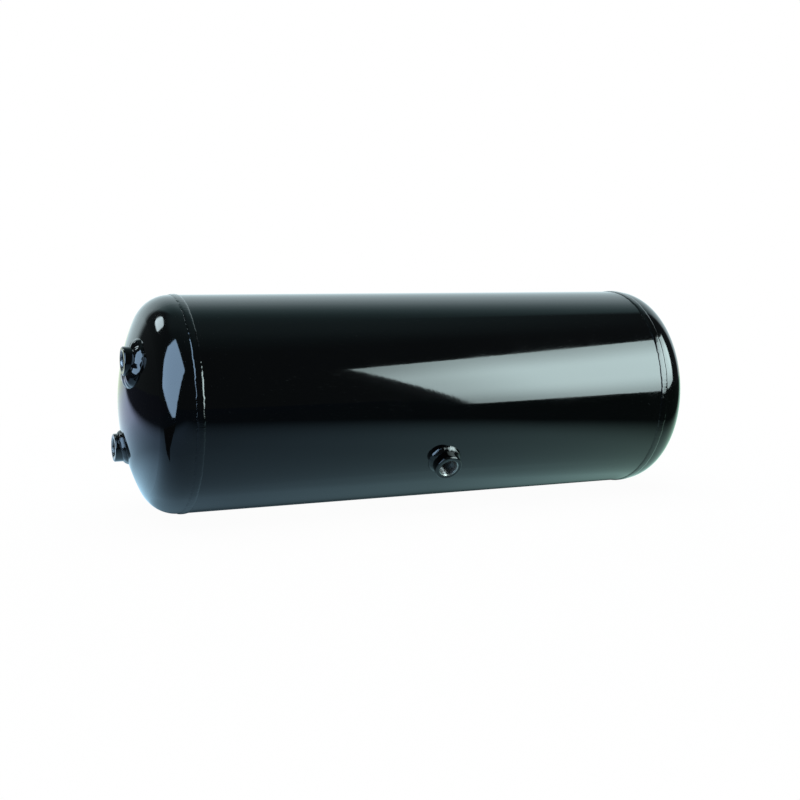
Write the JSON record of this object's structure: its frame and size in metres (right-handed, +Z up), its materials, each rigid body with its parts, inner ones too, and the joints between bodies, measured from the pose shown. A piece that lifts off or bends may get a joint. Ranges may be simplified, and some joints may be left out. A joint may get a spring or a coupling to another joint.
{
  "type": "compressed air reservoir",
  "caption": "Horizontal cylindrical steel air reservoir with dished welded heads and round threaded ports in its heads and shell.",
  "frame": {"origin": "on the tank's long axis at its mid-length", "axes": "+X along the tank to the right, +Y to the back, +Z up"},
  "size_m": [0.7026, 0.2488, 0.2482],
  "materials": {
    "black_paint": "gloss"
  },
  "bodies": {
    "root": {"shell": "black_paint", "shell_seam_weld": "black_paint", "front_shell_port_boss": "black_paint", "front_shell_port_weld": "black_paint", "back_shell_port_boss": "black_paint", "back_shell_port_weld": "black_paint", "left_head": "black_paint", "left_girth_weld": "black_paint", "left_upper_port_boss": "black_paint", "left_upper_port_weld": "black_paint", "left_lower_port_boss": "black_paint", "left_lower_port_weld": "black_paint", "right_head": "black_paint", "right_girth_weld": "black_paint", "right_upper_port_boss": "black_paint", "right_upper_port_weld": "black_paint", "right_lower_port_boss": "black_paint", "right_lower_port_weld": "black_paint"}
  },
  "joints": []
}
